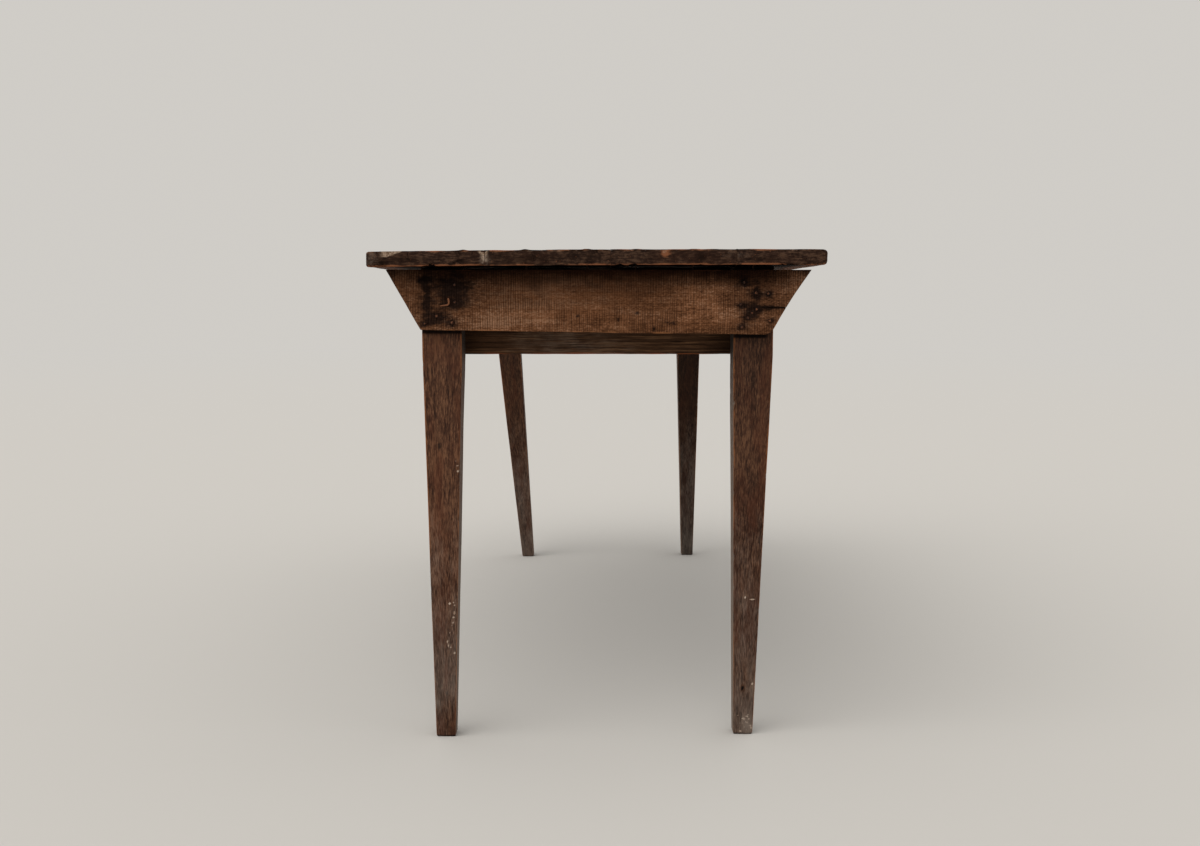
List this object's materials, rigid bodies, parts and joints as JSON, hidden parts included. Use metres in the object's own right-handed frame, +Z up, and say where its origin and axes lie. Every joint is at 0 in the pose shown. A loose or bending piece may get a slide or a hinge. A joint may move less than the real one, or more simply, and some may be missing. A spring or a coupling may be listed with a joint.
{
  "type": "refectory table",
  "caption": "Old plank-topped wooden refectory table with square tapered legs, pegged side rails and flared end boards nailed across the legs.",
  "frame": {"origin": "on the floor, under the middle of the top", "axes": "+Z up, +Y along the length towards the back end, +X to the right when the front end is faced; the pictured end is the front, at -Y"},
  "size_m": [0.684, 1.72, 0.75],
  "materials": {
    "top_wood": "dark weathered planks, worn dull, chipped along the ends",
    "end_board_wood": "warm brown sawn board with fine upright saw marks, waxed and dull",
    "rail_wood": "dark brown, dry and dusty",
    "leg_wood": "reddish brown, fine upright grain, arrises rubbed pale, scuffed towards the foot",
    "peg_wood": "end grain of split pegs, slightly proud",
    "nail_iron": "forged iron, black with rust"
  },
  "bodies": {
    "root": {"top_plank_1": "top_wood", "top_plank_2": "top_wood", "top_plank_3": "top_wood", "top_plank_4": "top_wood", "front_end_board": "end_board_wood", "back_end_board": "end_board_wood", "front_cross_rail": "rail_wood", "back_cross_rail": "rail_wood", "left_side_rail": "rail_wood", "right_side_rail": "rail_wood", "front_bearer": "rail_wood", "back_bearer": "rail_wood", "front_left_leg": "leg_wood", "front_right_leg": "leg_wood", "back_left_leg": "leg_wood", "back_right_leg": "leg_wood", "tenon_pegs": "peg_wood", "front_end_nails": "nail_iron", "back_end_nails": "nail_iron", "bent_nail": "nail_iron", "cross_rail_nails": "nail_iron", "top_nails": "nail_iron"}
  },
  "joints": []
}
